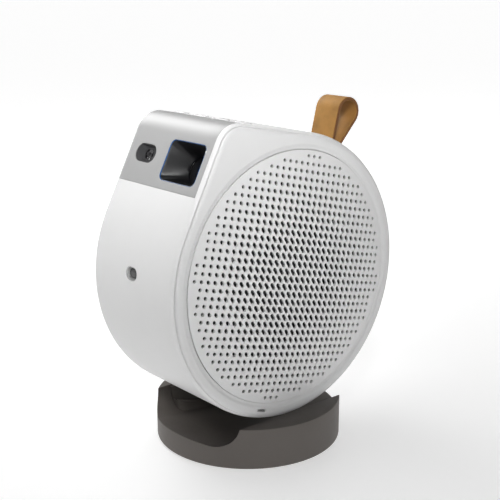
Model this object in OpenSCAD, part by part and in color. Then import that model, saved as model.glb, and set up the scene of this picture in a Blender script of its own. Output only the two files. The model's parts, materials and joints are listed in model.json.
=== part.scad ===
// Portable projector: a drum-shaped body that rolls in a round dock.
// Frame: millimetres, +Z up, origin on the floor under the middle of the dock.
// The lens looks toward -Y and the speaker side is +X. The drum turns about an axis along X.

/* [Drum] */
// Radius of the drum
drum_r = 89; // [86:0.5:90]
// Radius of the rounded corner between the lens face and the top
corner_r = 16; // [14:0.5:18]
// Direction of the top flat's normal, from straight back
top_a = 92.5; // [91:0.5:94]
// Direction of the lens face's normal, from straight back
face_a = 166.5; // [165:0.5:168]
// Wall of the rim shell
wall = 2.4; // [2:0.1:2.6]
// Half of the drum's width at its flat side panels
half_w = 42; // [41.5:0.1:42.5]
// Rise of each domed grille over its side panel
dome_h = 4.5; // [2:0.1:5]
// Tilt of the drum, lens up, as it stands in the dock
pitch = 13; // [0:0.5:20]

/* [Dock] */
// Radius of the round dock
dock_r = 60; // [58:0.5:62]
// Height of the two ledges beside the drum
ledge_z = 27; // [26:0.5:28]
// Height of the channel's floor
floor_z = 15; // [14:0.5:15]
// Height of the drum's axis when docked
axis_z = 114; // [114:0.5:118]

/* [Lens face] */
// Width of the lens window
window_w = 34; // [32:0.5:35]
// Height of the lens window
window_h = 25.5; // [24:0.5:26]
// Distance of the lens axis from the middle of the drum
lens_x = 16.3; // [16:0.1:17]
// Height of the lens axis along the lens face
lens_y = 39.2; // [39:0.1:40]
// Lower edge of the front plate, along the lens face
plate_y = 21.5; // [20:0.5:24]

/* [Controls] */
// Radius of a button
button_r = 5.2; // [4.5:0.1:5.6]
// Height of a button above the shell
button_rise = 0.9; // [0.5:0.1:1.2]
// Distance between buttons
button_step = 20; // [18:0.5:20]

/* [Strap] */
// Width of the leather band
strap_w = 21; // [18:0.5:22]
// Thickness of the leather
strap_t = 2.2; // [1.8:0.1:2.4]
// Distance from the rim to the middle of the loop's round end
strap_h = 31.5; // [28:0.5:33]

/* [Hidden] */

$fn = 96;
edge_r = 4.5;                    // rounding of the drum's two edges
seam_x = half_w - 1.3;           // seam between the rim shell and a side panel
grille_r = 78.6;                 // radius of a grille
gap = 0.15;                      // assembly gap between neighbouring covers
lap = 0.02;                      // neighbouring steps of an edge run into each other by this
skin = 1.2;                      // thickness of the front plate
plate_w = 76;                    // width of the front plate
half_a = (face_a - top_a) / 2;
corner_d = (drum_r - corner_r) / cos(half_a);
flat_len = corner_d * sin(half_a);
corner_c = pol((face_a + top_a) / 2, corner_d);
cream = "whitesmoke";
black = [0.05, 0.05, 0.055];

function pol(a, r) = [r * cos(a), r * sin(a)];

// ---- placing -------------------------------------------------------------------------------

// The drum's own frame: origin on its axis, tilted lens up
module in_drum() translate([0, 0, axis_z]) rotate([-pitch, 0, 0]) children();

// A place on the drum's outline at angle a: local Z points outward, local X across the drum
module at_rim(a) rotate([a - 90, 0, 0]) translate([0, 0, drum_r]) children();

// A flat outline in the drum's side view, carried across from x0 to x1
module across(x0, x1) rotate([90, 0, 90]) translate([0, 0, x0]) linear_extrude(x1 - x0) children();

// An outline of (radius, x) turned about the drum's axis from a0 to a1
module turned(a0 = 0, a1 = 360) rotate([90, 0, 90]) rotate([0, 0, a0])
    rotate_extrude(angle = a1 - a0) children();

// A round bar along X
module bar(r, x0, x1) translate([x0, 0, 0]) rotate([0, 90, 0]) cylinder(r = r, h = x1 - x0);

// Points of the drum's outline in its side view, moved inward by inset
function drum_outline(inset) = concat(
    [for (i = [0 : 96]) pol(face_a + (top_a + 360 - face_a) * i / 96, drum_r - inset)],
    [for (i = [0 : 12]) corner_c + pol(top_a + (face_a - top_a) * i / 12, corner_r - inset)]);

// The drum's full outline, moved inward by inset, from x0 to x1
module drum_plate(inset, x0, x1) across(x0, x1) polygon(drum_outline(inset));

// How far the rounded edge lies inside the outline, at x from the drum's middle
function edge_inset(x) = edge_r - sqrt(pow(edge_r, 2) - pow(x - half_w + edge_r, 2));

// A stretch of the drum's edge from x0 to x1, eased in steps; each step laps into the last
module eased_edge(x0, x1, steps) for (i = [0 : steps - 1])
    drum_plate(edge_inset(x0 + (x1 - x0) * (i + 0.5) / steps),
        x0 + (x1 - x0) * i / steps - lap, x0 + (x1 - x0) * (i + 1) / steps);

// The block that holds the lens face and the corner, grown by more on its free edges
module face_zone(more = 0) intersection() {
    at_rim(face_a) translate([-plate_w / 2 - more, plate_y - more, -45])
        cube([plate_w + 2 * more, 90, 60]);
    at_rim(top_a) translate([-50, -100, -80]) cube([100, 100 - flat_len + 1 + more, 100]);
}

module rounded_box(w, h, r, z0, z1) {
    for (sx = [-1, 1], sy = [-1, 1])
        translate([sx * (w / 2 - r), sy * (h / 2 - r), z0]) cylinder(r = r, h = z1 - z0);
    translate([-w / 2, -h / 2 + r, z0]) cube([w, h - 2 * r, z1 - z0]);
    translate([-w / 2 + r, -h / 2, z0]) cube([w - 2 * r, h, z1 - z0]);
}

// A slot with round ends along X
module stadium(w, h, z0, z1) {
    for (s = [-1, 1]) translate([s * (w - h) / 2, 0, z0]) cylinder(d = h, h = z1 - z0);
    translate([-(w - h) / 2, -h / 2, z0]) cube([w - h, h, z1 - z0]);
}

module both_sides() {
    children();
    mirror([1, 0, 0]) children();
}

// ---- casing --------------------------------------------------------------------------------

ir_a = 186.4;                    // the receiver's place on the rim
port_a = -8;                     // the sockets' place on the rim
strap_a = 59;                    // the strap's root on the rim
strap_lean = 16;                 // the loop leans forward of square by this
button_y = -46;                  // the row of buttons, along the top flat
af_x = -21.2;                    // middle of the focus camera's opening
af_y = 40.2;
af_w = 20;
af_h = 11.5;

module button_places() at_rim(top_a) for (i = [0 : 3])
    translate([button_step * (i - 1.5), button_y, 0]) children();

module rim_shell() color(cream) in_drum() difference() {
    union() {
        difference() {
            union() {
                drum_plate(0, -half_w + edge_r, half_w - edge_r);
                both_sides() eased_edge(half_w - edge_r, seam_x, 3);
            }
            face_zone(gap);
        }
        drum_plate(skin + 0.1, -seam_x + 0.5, seam_x - 0.5);
    }
    difference() {
        drum_plate(wall, -50, 50);
        at_arms() translate([-9, -5, -4]) cube([7.4, 10, 12]);
    }
    at_arms() bar(1.55, -12, 5);
    at_rim(face_a) translate([lens_x, lens_y, 0])
        rounded_box(window_w + 0.4, window_h + 0.4, 4, -6, 2);
    at_rim(face_a) translate([af_x, af_y, 0]) stadium(af_w + 0.4, af_h + 0.4, -6, 2);
    at_rim(ir_a) stadium(11.2, 8.2, -6, 4);
    at_rim(port_a) translate([-24, -9, -8]) cube([48, 18, 12]);
    at_rim(strap_a) translate([-strap_w / 2 - 0.3, -strap_t - 0.3, -8])
        cube([strap_w + 0.6, 2 * strap_t + 0.6, 12]);
    button_places() translate([0, 0, -6]) cylinder(r = button_r + 0.25, h = 10);
}

module front_plate() color("gainsboro") in_drum() difference() {
    intersection() {
        drum_plate(0, -plate_w / 2 - 1, plate_w / 2 + 1);
        face_zone();
    }
    drum_plate(skin, -50, 50);
    at_rim(face_a) translate([lens_x, lens_y, 0]) rounded_box(window_w, window_h, 4, -3, 2);
    at_rim(face_a) translate([af_x, af_y, 0]) stadium(af_w, af_h, -3, 2);
}

// Side panel with a round seat for its grille and a shallow groove around it
module side_panel() difference() {
    union() {
        eased_edge(seam_x + gap, half_w, 2);
        drum_plate(wall + 0.2, half_w - 3.8, seam_x + gap);
    }
    bar(grille_r + 0.3, half_w - 2.2, half_w + 1);
    bar(grille_r - 2.6, half_w - 5, half_w + 1);
    turned() polygon([[grille_r, half_w - 1], [grille_r + 1.4, half_w - 0.9],
        [grille_r + 3.2, half_w + 0.1], [grille_r, half_w + 0.1]]);
}

lock_a = 266;                    // the lock slot's place on the rounded edge

module panel_right() color(cream) in_drum() difference() {
    side_panel();
    at_rim(lock_a) translate([half_w - 3.7, -4, -7]) cube([6, 8, 2.4]);
}

module panel_left() color(cream) in_drum() mirror([1, 0, 0]) side_panel();

// A domed disc of even thickness; its perforation is a surface finish
module grille() turned() polygon(concat(
    [for (i = [0 : 12]) [grille_r * i / 12, dome_x(i / 12)]],
    [for (i = [12 : -1 : 0]) [grille_r * i / 12, dome_x(i / 12) - 1.5]]));

function dome_x(t) = half_w - 0.5 + (dome_h + 0.5) * (1 - t * t);

module grille_right() color(cream) in_drum() grille();
module grille_left() color(cream) in_drum() mirror([1, 0, 0]) grille();

module lock_slot() color("dimgray") in_drum() at_rim(lock_a)
    translate([half_w - 3.6, -3.8, -6.8]) difference() {
        cube([2.2, 7.6, 2]);
        translate([0.8, 0.8, 0.5]) cube([3, 6, 1]);
    }

// ---- lens and light ------------------------------------------------------------------------

hood_depth = 14;                 // from the lens face down to the lens
barrel_r = 10.5;
screw_y = lens_y + 16;           // the focus screw's place beside the lens
barrel_back = -46;

module on_lens() in_drum() at_rim(face_a) translate([lens_x, lens_y, 0]) children();

module lens_hood() color(black) on_lens() difference() {
    union() {
        rounded_box(window_w - 0.3, window_h - 0.3, 3.8, -6, -0.4);
        rounded_box(window_w + 2.4, window_h - 0.3, 3.8, -hood_depth, -wall - 0.7);
    }
    hull() {
        rounded_box(window_w - 2.6, window_h - 2.6, 3, -0.5, 1, $fn = 32);
        translate([0, 0, -hood_depth - 0.1]) cylinder(r = 8.8, h = 0.2, $fn = 32);
    }
    translate([0, 0, -hood_depth - 1]) cylinder(r = 8.8, h = 2);
}

motor_r = 4.4;

module lens_mount() color("dimgray") on_lens() {
    difference() {
        union() {
            translate([0, 0, -42]) cylinder(r = 12.6, h = 24);
            translate([-4, 0, -28]) cube([8, 11.4, 6]);
        }
        translate([0, 0, -50]) cylinder(r = barrel_r + 0.06, h = 50);
        translate([0, screw_y - lens_y, -30]) cylinder(r = motor_r + 0.05, h = 13);
    }
}

module lens_barrel() color(black) on_lens() difference() {
    union() {
        translate([0, 0, barrel_back]) cylinder(r = barrel_r, h = -barrel_back - hood_depth - 1.3);
        translate([-2.5, 0, barrel_back]) cube([5, screw_y - lens_y + 3, 2.5]);
    }
    translate([0, 0, -50]) cylinder(r = 8.7, h = 50);
    translate([0, screw_y - lens_y, -50]) cylinder(r = 1.06, h = 50);
}

// One lens element: a disc with a bulged front
module element(r, z, t, bulge) translate([0, 0, z]) rotate_extrude() polygon(concat(
    [[0, 0], [r, 0]], [for (i = [8 : -1 : 0]) [r * i / 8, t + bulge * (1 - i * i / 64)]]));

module lens_front() color("slategray", 0.6) on_lens() element(8.65, -20, 1.6, 2.4);
module lens_rear() color("slategray", 0.6) on_lens()
    for (z = [-44, -36, -28]) element(8.65, z, 2, 1.2);

module focus_screw() color("silver") on_lens() translate([0, screw_y - lens_y, -46.4])
    cylinder(r = 1, h = 18);

module focus_motor() color("gray") on_lens() translate([0, screw_y - lens_y, -28.2])
    cylinder(r = motor_r, h = 10);

engine_x0 = 3;
engine_x1 = 29;
engine_top = -47.4;              // depth of the light engine from the lens face
engine_back = -59;
pipe_y = 69.4;                   // the heat pipes' distance along the lens face

module on_face() in_drum() at_rim(face_a) children();

module light_engine() color("dimgray") on_face() difference() {
    translate([engine_x0, 27, engine_back]) cube([engine_x1 - engine_x0, 35, engine_top - engine_back]);
    translate([lens_x, lens_y, -50]) cylinder(r = 8, h = 5);
}

module led_modules() color("darkgreen") on_face() for (i = [0 : 2])
    translate([engine_x0 + 0.5 + i * 9, 62, -57.5]) cube([7.5, 4, 9]);

module heat_pipes() color("peru") on_face() for (z = [-56, -50])
    translate([0, pipe_y - 0.4, z]) bar(2.9, -36, engine_x1 - 1);

module heatsink() color("silver") on_face() difference() {
    union() {
        for (i = [0 : 11]) translate([-35.5 + i * 2.4, 52, -70]) cube([0.6, 21, 29]);
        translate([-35.5, 52, -70]) cube([27, 2, 29]);
    }
    for (z = [-56, -50]) translate([0, pipe_y - 0.4, z]) bar(2.95, -40, 0);
}

module af_bezel() color([0.2, 0.2, 0.21]) on_face() translate([af_x, af_y, 0]) difference() {
    union() {
        stadium(af_w - 0.3, af_h - 0.3, -6, -0.4);
        translate([-af_w / 2 - 1, -7, -13]) cube([af_w + 2, 14, 13 - wall - 0.8]);
    }
    stadium(af_w - 2, af_h - 2, -2.6, 1);
    translate([0.5, 0, -14]) cylinder(r = 4, h = 14);
}

module af_lens() color(black) on_face() translate([af_x + 0.5, af_y, 0])
    element(3.9, -8, 4, 0.8);

module ir_bezel() color("gainsboro") in_drum() at_rim(ir_a) difference() {
    stadium(10.9, 7.9, -5, -0.7);
    stadium(9, 6, -6, 1);
}

module ir_window() color([0.12, 0.1, 0.1]) in_drum() at_rim(ir_a) stadium(8.9, 5.9, -4.8, -2.6);

// ---- inside --------------------------------------------------------------------------------

arm_r = 80;                      // radius at which the chassis arms are screwed

module at_arms() for (a = [30, 85, 225, 300]) rotate([a - 90, 0, 0]) translate([0, 0, arm_r])
    children();

module chassis() color("darkgray") in_drum() difference() {
    union() {
        bar(66, -1.5, 1.5);
        at_arms() translate([-1.5, -7, -40]) cube([3, 14, 45.5]);
    }
    at_rim(face_a) translate([-2, 20, -62]) cube([4, 80, 62]);
    bar(14, -5, 5);
    at_arms() bar(1.6, -5, 5);
}

module chassis_screws() color("silver") in_drum() at_arms() {
    bar(1.5, -7, 1.6);
    bar(2.8, 1.6, 3.2);
}

module main_board() color("darkgreen") in_drum() difference() {
    union() {
        translate([-9, -58, -44]) cube([1.6, 104, 84]);
        for (y = [-40, -12, 16]) translate([-7.4, y, -36]) cube([2.2, 16, 16]);
    }
    translate([-12, -60, 12]) cube([8, 22, 40]);
}

module power_board() color("darkgreen") in_drum() {
    translate([-34, -36, -60]) cube([26, 72, 1.6]);
    for (y = [-30, -8, 14]) translate([-31, y, -58.4]) cube([16, 12, 9]);
}

cell_r = 9.2;
cell_len = 65;
cell_places = [[12.5, -56], [26.5, -69]];

module battery_cells() color("steelblue") in_drum() for (c = cell_places)
    translate([c.x, -cell_len / 2, c.y]) rotate([-90, 0, 0]) cylinder(r = cell_r, h = cell_len);

module battery_holder() color(black) in_drum() difference() {
    translate([1.7, -cell_len / 2 - 2.5, -77]) cube([34.1, cell_len + 5, 31]);
    translate([3.1, -cell_len / 2 - 0.3, -80]) cube([40, cell_len + 0.6, 40]);
}

fan_c = [5, 4];                  // the fan's middle in the drum's side view
module on_fan() in_drum() translate([0, fan_c.x, fan_c.y]) children();

module fan_frame() color([0.15, 0.15, 0.16]) on_fan() {
    difference() {
        bar(34, -34, -14);
        bar(31.5, -40, -15.8);
    }
    bar(2, -30.8, -15);
}

module fan_rotor() color([0.2, 0.2, 0.21]) on_fan() difference() {
    union() {
        bar(12, -33, -17);
        for (i = [0 : 10]) rotate([i * 360 / 11, 0, 0]) translate([-32, -0.5, 11.5])
            rotate([0, 0, 24]) cube([13, 1.1, 18]);
    }
    bar(2.08, -31, -16);
}

// ---- sound ---------------------------------------------------------------------------------

tweeter_places = [[40, 62], [215, 62]];
tweeter_r = 12;
baffle_x = 36.2;
clamp_r = 44;

module speaker_baffle() color([0.16, 0.16, 0.17]) in_drum() difference() {
    bar(80, baffle_x, 38);
    bar(39.2, 30, 40);
    for (p = tweeter_places) translate([0, pol(p[0], p[1]).x, pol(p[0], p[1]).y])
        bar(tweeter_r - 1, 30, 40);
    for (a = [20 : 60 : 320]) rotate([a, 0, 0]) translate([0, 0, 48]) bar(1.35, 30, 40);
}

module baffle_screws() color("silver") in_drum() for (a = [20 : 60 : 320])
    rotate([a, 0, 0]) translate([0, 0, 48]) bar(1.25, 33, 38.1);

module woofer_clamp() color([0.2, 0.2, 0.21]) in_drum() turned()
    polygon([[36.5, 31.5], [clamp_r, 31.5], [clamp_r, baffle_x], [41.5, baffle_x],
        [41.5, 33.2], [36.5, 33.2]]);

module woofer_frame() color([0.12, 0.12, 0.13]) in_drum() turned() polygon([[22.5, 14],
    [24, 14], [36, 31], [36, 33.5], [41, 33.5], [41, 35.9], [38.6, 35.9], [34.4, 33],
    [34.4, 31.6], [23, 15.6], [16, 15.6], [16, 14]]);

module woofer_magnet() color("gray") in_drum() difference() {
    bar(20, 2.5, 14);
    bar(13.2, 5, 15);
}

module woofer_surround() color(black) in_drum() turned() polygon(concat(
    [[34.6, 35.8], [34.6, 34.4]], [[38.4, 36.0], [38.4, 37]],
    [for (t = [10 : 20 : 170]) [36.5 + 1.9 * cos(t), 36.6 + 1.4 * sin(t)]]));

module woofer_cone() color([0.35, 0.35, 0.36]) in_drum() turned() polygon([[0, 26.5],
    [6, 25.8], [11, 24], [33.9, 33.6], [33.9, 34.4], [12, 25.4], [12, 25.6], [6.5, 27.2],
    [0, 28]]);

module tweeters() color([0.12, 0.12, 0.13]) in_drum() for (p = tweeter_places)
    translate([0, pol(p[0], p[1]).x, pol(p[0], p[1]).y]) {
        bar(tweeter_r, 33, baffle_x);
        bar(8, 25, 33);
        bar(7, baffle_x, 38);
    }

// ---- sockets -------------------------------------------------------------------------------

hdmi_x = -13;
usb_x = 2;
audio_x = 11;
dc_x = 18.5;

module at_ports() in_drum() at_rim(port_a) children();

module io_panel() color([0.14, 0.14, 0.15]) at_ports() difference() {
    translate([-23.8, -8.8, -4.6]) cube([47.6, 17.6, 1.6]);
    translate([hdmi_x - 7.7, -2.9, -6]) cube([15.4, 5.8, 4]);
    translate([usb_x, 0, 0]) stadium(9.3, 3.6, -6, -2);
    translate([audio_x, 0, -6]) cylinder(r = 3.1, h = 4);
    translate([dc_x, 0, -6]) cylinder(r = 2.95, h = 4);
}

module io_board() color("darkgreen") at_ports() translate([-22, -8, -19]) cube([44, 16, 1.6]);

module hdmi_socket() color("silver") at_ports() difference() {
    translate([hdmi_x - 7.5, -2.75, -17.4]) cube([15, 5.5, 14.2]);
    translate([hdmi_x - 7, -2.25, -13]) cube([14, 4.5, 12]);
    translate([hdmi_x - 8, 1.4, -12]) cube([16, 3, 5]);
}

module usb_c_socket() color("silver") at_ports() translate([usb_x, 0, 0]) difference() {
    stadium(9, 3.3, -17.4, -3.4);
    stadium(8.3, 2.6, -12, 0);
}

module audio_jack() color(black) at_ports() translate([audio_x, 0, 0]) difference() {
    union() {
        translate([-3.1, -3.4, -17.4]) cube([6.2, 6.8, 12.4]);
        translate([0, 0, -5.5]) cylinder(r = 2.9, h = 2.1);
    }
    translate([0, 0, -16]) cylinder(r = 1.8, h = 20);
}

module dc_inlet() color(black) at_ports() translate([dc_x, 0, 0]) {
    difference() {
        union() {
            translate([-3.4, -4, -17.4]) cube([6.8, 8, 12.6]);
            translate([0, 0, -5.5]) cylinder(r = 2.9, h = 2.1);
        }
        translate([0, 0, -15]) cylinder(r = 2.2, h = 20);
    }
    translate([0, 0, -15.2]) cylinder(r = 0.6, h = 10);
}

// ---- controls and strap --------------------------------------------------------------------

module button(i) color(cream) in_drum() at_rim(top_a)
    translate([button_step * (i - 1.5), button_y, 0]) {
        translate([0, 0, -3.6]) cylinder(r = button_r, h = 3.6 + button_rise);
        translate([0, 0, -4.4]) cylinder(r = button_r + 0.8, h = 1);
        translate([0, 0, -6.5]) cylinder(r = 1.6, h = 5);
    }

module button_power() button(0);
module button_mode() button(1);
module button_volume_down() button(2);
module button_volume_up() button(3);

module button_board() color("darkgreen") in_drum() at_rim(top_a) {
    translate([-37, button_y - 7, -9.8]) cube([74, 14, 1.4]);
    for (i = [0 : 3]) translate([button_step * (i - 1.5) - 2.5, button_y - 2.5, -8.4])
        cube([5, 5, 1]);
}

loop_r = 9.7;                    // outer radius of the strap's loop

module at_strap() in_drum() at_rim(strap_a) children();

module strap() color("peru") at_strap() {
    rotate([strap_lean, 0, 0]) rotate([90, 0, 90]) translate([0, 0, -strap_w / 2])
        linear_extrude(strap_w) difference() {
            hull() {
                translate([0, strap_h]) circle(r = loop_r, $fn = 64);
                translate([-strap_t, 0.6]) square([2 * strap_t, 1]);
            }
            hull() {
                translate([0, strap_h]) circle(r = loop_r - strap_t, $fn = 64);
                translate([-0.1, 7]) square([0.2, 1]);
            }
        }
    translate([-strap_w / 2, -strap_t, -7]) cube([strap_w, 2 * strap_t, 8]);
}

module strap_clamp() color("gray") at_strap() difference() {
    translate([-strap_w / 2 - 5, -5, -8.6]) cube([strap_w + 10, 10, 5]);
    translate([-strap_w / 2 - 0.2, -strap_t - 0.05, -7.1]) cube([strap_w + 0.4, 2 * strap_t + 0.1, 9]);
    for (s = [-1, 1]) translate([s * (strap_w / 2 + 2.6), 0, -10]) cylinder(r = 1.1, h = 10);
}

module dock_armature() color("gray") in_drum() turned(252, 288)
    translate([drum_r - wall - 1.65, -24]) square([1.6, 48]);

// ---- dock ----------------------------------------------------------------------------------

floor_mid = 8.5;                 // height of the channel's floor at its middle
floor_rise = floor_z - floor_mid;
floor_reach = 57.5;              // the floor's ends, along the channel
floor_r = (pow(floor_reach, 2) + pow(floor_rise, 2)) / (2 * floor_rise);
cove_r = 16;                     // rounding from the channel's floor up to a ledge
cove_x = 26.5;                   // half of the channel's floor
cavity_r = 56.6;
cavity_top = 6;

// The channel: a shallow saddle, hollow both along and across, turned about an axis high above
module channel_cut(rise = 0) translate([0, 0, floor_mid + floor_r + rise]) rotate([90, 0, 90])
    rotate_extrude($fn = 360) polygon(concat(
        [for (t = [0 : 7 : 84]) [floor_r - cove_r * (1 - cos(t)), cove_x + cove_r * sin(t)]],
        [[floor_r - 40, cove_x + cove_r], [floor_r - 40, -cove_x - cove_r]],
        [for (t = [84 : -7 : 0]) [floor_r - cove_r * (1 - cos(t)), -cove_x - cove_r * sin(t)]]));

module dock_shell() color([0.37, 0.35, 0.33]) difference() {
    translate([0, 0, 0.8]) cylinder(r = dock_r, h = ledge_z - 0.8, $fn = 160);
    channel_cut();
    difference() {
        cylinder(r = cavity_r, h = cavity_top);
        at_dock_screws() translate([0, 0, 5.9]) cylinder(r = 4, h = 2);
    }
    at_dock_screws() cylinder(r = screw_r + 0.05, h = 8.6);
}

key_front = -30.8;               // the key's front wall, across the channel
key_back = -37;                  // foot of its sloped cheek
key_top = [-40.8, 26];           // head of the cheek
key_mid = 13;                    // height of its hollow top at the middle
key_half = 33;
key_round = 4;                   // rounding of its front corners, in plan
key_groove = 0.8;                // depth of the groove along the cheek's foot
rail_r = 92;                     // hollow of its top, close to the drum's own round

// The key's outline in plan
module key_plan() polygon(concat(
    [[-50, -key_half]],
    [for (t = [0 : 22.5 : 90]) [key_front - key_round * (1 - sin(t)),
        -key_half + key_round * (1 - cos(t))]],
    [for (t = [90 : -22.5 : 0]) [key_front - key_round * (1 - sin(t)),
        key_half - key_round * (1 - cos(t))]],
    [[-50, key_half]]));

module in_front_of_cheek() translate([0, 90, 0]) rotate([90, 0, 0]) linear_extrude(180)
    polygon([key_top, [key_back, key_mid], [key_back, 0], [-20, 0], [-20, key_top[1]]]);

cheek_lean = atan2(key_top[1] - key_mid, key_back - key_top[0]);
pin_z = 22;
pin_x = key_back - (pin_z - key_mid) / tan(cheek_lean);

module at_pin() translate([pin_x, 0, pin_z]) rotate([0, cheek_lean, 0]) children();

// The key: a rail with a hollow top under the drum's rim, and a steep cheek behind it
module dock_key() color([0.33, 0.31, 0.29]) difference() {
    intersection() {
        linear_extrude(key_top[1]) key_plan();
        channel_cut(0.02);
    }
    intersection() {
        in_front_of_cheek();
        union() {
            translate([0, 0, key_mid + rail_r]) bar(rail_r, -60, -10, $fn = 360);
            translate([0, 0, key_mid - key_groove + rail_r])
                bar(rail_r, -60, key_back + 2.4, $fn = 360);
        }
    }
    at_pin() translate([0, 0, -1.7]) cylinder(r = 1.25, h = 5);
}

module key_pin() color("white") at_pin() translate([0, 0, -1.6]) cylinder(r = 1.2, h = 2);

screw_r = 1.5;

module at_dock_screws() for (a = [45 : 90 : 315]) rotate([0, 0, a]) translate([38, 0, 0])
    children();

module at_dock_magnets() for (x = [-16, 16], y = [-22, 22]) translate([x, y, 3.3]) children();

module dock_cover() color(black) difference() {
    translate([0, 0, 1.2]) cylinder(r = cavity_r - 0.3, h = 2);
    at_dock_screws() cylinder(r = 1.7, h = 9);
    at_dock_screws() cylinder(r = 3, h = 2.25);
}

module dock_foot() color([0.1, 0.1, 0.1]) cylinder(r = 54, h = 1.2);

module dock_ballast() color("gray") difference() {
    translate([0, 0, 3.3]) cylinder(r = 53, h = 2.4);
    at_dock_screws() cylinder(r = 1.7, h = 9);
    at_dock_magnets() translate([0, 0, -1]) cylinder(r = 6.1, h = 5);
}

module dock_magnets() color("silver") at_dock_magnets() cylinder(r = 6, h = 2.4);

module dock_screws() color("silver") at_dock_screws() {
    translate([0, 0, 1.3]) cylinder(r = screw_r, h = 7.1);
    translate([0, 0, 1.3]) cylinder(r = 2.8, h = 0.9);
}

// ---- drawing -------------------------------------------------------------------------------

rim_shell();
front_plate();
panel_right();
panel_left();
grille_right();
grille_left();
lens_hood();
lens_mount();
lens_barrel();
lens_front();
lens_rear();
focus_screw();
focus_motor();
light_engine();
led_modules();
heat_pipes();
heatsink();
af_bezel();
af_lens();
ir_window();
ir_bezel();
chassis();
chassis_screws();
main_board();
power_board();
battery_cells();
battery_holder();
fan_frame();
fan_rotor();
speaker_baffle();
baffle_screws();
woofer_clamp();
woofer_frame();
woofer_magnet();
woofer_surround();
woofer_cone();
tweeters();
io_board();
io_panel();
hdmi_socket();
usb_c_socket();
audio_jack();
dc_inlet();
lock_slot();
button_board();
button_power();
button_mode();
button_volume_down();
button_volume_up();
strap();
strap_clamp();
dock_armature();
dock_shell();
dock_key();
key_pin();
dock_cover();
dock_foot();
dock_ballast();
dock_magnets();
dock_screws();
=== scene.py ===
"""Portable drum-shaped projector in its round dock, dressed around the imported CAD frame.

Lengths in the building code are millimetres in the drum's own frame (origin on the drum's axis,
X across, Z up) or in the dock's frame (origin on the floor), and place() turns them into metres.
"""
import json
import math

import bmesh
import bpy
from mathutils import Matrix, Vector
from mathutils.geometry import delaunay_2d_cdt


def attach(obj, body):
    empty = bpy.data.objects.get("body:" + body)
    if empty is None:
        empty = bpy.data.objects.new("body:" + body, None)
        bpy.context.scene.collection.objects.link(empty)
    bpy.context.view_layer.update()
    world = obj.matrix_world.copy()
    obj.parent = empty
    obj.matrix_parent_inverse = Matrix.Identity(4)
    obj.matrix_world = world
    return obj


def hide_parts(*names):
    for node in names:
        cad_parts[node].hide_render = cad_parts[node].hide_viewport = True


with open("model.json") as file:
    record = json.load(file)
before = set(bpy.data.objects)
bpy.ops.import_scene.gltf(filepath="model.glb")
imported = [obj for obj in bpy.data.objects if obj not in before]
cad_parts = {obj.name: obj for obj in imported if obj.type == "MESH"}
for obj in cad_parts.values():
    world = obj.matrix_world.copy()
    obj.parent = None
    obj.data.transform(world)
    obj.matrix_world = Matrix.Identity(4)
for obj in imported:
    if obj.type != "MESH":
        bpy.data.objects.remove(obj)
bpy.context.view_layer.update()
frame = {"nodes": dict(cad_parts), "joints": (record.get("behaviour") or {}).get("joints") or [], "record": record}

MM = 0.001
JOINTS = {j["name"]: j for j in frame["joints"]}
PITCH = math.radians(13)
DOCK = Matrix.Identity(4)
DRUM = (Matrix.Translation((0, 0, JOINTS["tilt"]["pos_m"][2])) @ Matrix.Rotation(-PITCH, 4, "X"))

# the drum, in mm and degrees; angles run from straight back, up over the top
DRUM_R = 89.0
CORNER_R = 16.0
TOP_A = 92.5
FACE_A = 166.5
HALF_W = 42.0
EDGE_R = 4.5
WALL = 2.4
SEAM_X = HALF_W - 1.3
SEAM_GAP = 0.15
PANEL_X = SEAM_X + 0.5
THROUGH = (-9, 3)                  # a cutter's ends, clear of the wall on both sides
GRILLE_R = 78.6
DOME_H = 4.5
SHEET_T = 1.2
HALF_A = math.radians((FACE_A - TOP_A) / 2)
CORNER_D = (DRUM_R - CORNER_R) / math.cos(HALF_A)
OUTLINE_STEPS, FLAT_STEPS, CORNER_STEPS = 190, 24, 24

# the lens face
PLATE_Y = 21.5
PLATE_W = 76.0
PLATE_T = 1.2
WINDOW = (34.0, 25.5, 4.0)
LENS = (16.3, 39.2)
LENS_R = 8.8
HOOD_DEPTH = 14.0
AF = (-21.2, 40.2)
AF_SIZE = (20.0, 11.5)
FLOOR_END = -4.6
IR_A, IR_CUT = 186.4, (11.2, 8.2)

# the rest of the casing
PORT_A, PORT_CUT = -8.0, (48, 18, 3)
STRAP_A = 59.0
STRAP_LEAN = 16.0
STRAP_W, STRAP_T, STRAP_H, LOOP_R = 21.0, 2.2, 31.5, 9.7
BUTTON_Y, BUTTON_STEP, BUTTON_R, BUTTON_RISE = -46.0, 20.0, 5.2, 0.9
LOCK_A, LOCK_SLOT, LOCK_DEPTHS = 266.0, (6.4, 6.0, 0.6), (-6.6, -4.9)

# the dock
DOCK_R, LEDGE_Z, FLOOR_MID = 60.0, 27.0, 8.5
FLOOR_RISE, FLOOR_REACH = 6.5, 57.5
SADDLE_TURN, SADDLE_STEPS = 16, 32
FLOOR_R = (FLOOR_REACH ** 2 + FLOOR_RISE ** 2) / (2 * FLOOR_RISE)
COVE_R, COVE_X = 16.0, 26.5
CAVITY_R, FOOT_R, CAVITY_TOP, FOOT_GAP = 56.6, 58.6, 6, 0.8


# ---- outlines ----------------------------------------------------------------------------------

def pol(angle, radius=1.0):
    return Vector((math.cos(math.radians(angle)), math.sin(math.radians(angle)))) * radius


CORNER_C = pol((FACE_A + TOP_A) / 2, CORNER_D)


def spread(a, b, count):
    """count + 1 values from a to b."""
    return [a + (b - a) * i / count for i in range(count + 1)]


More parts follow.
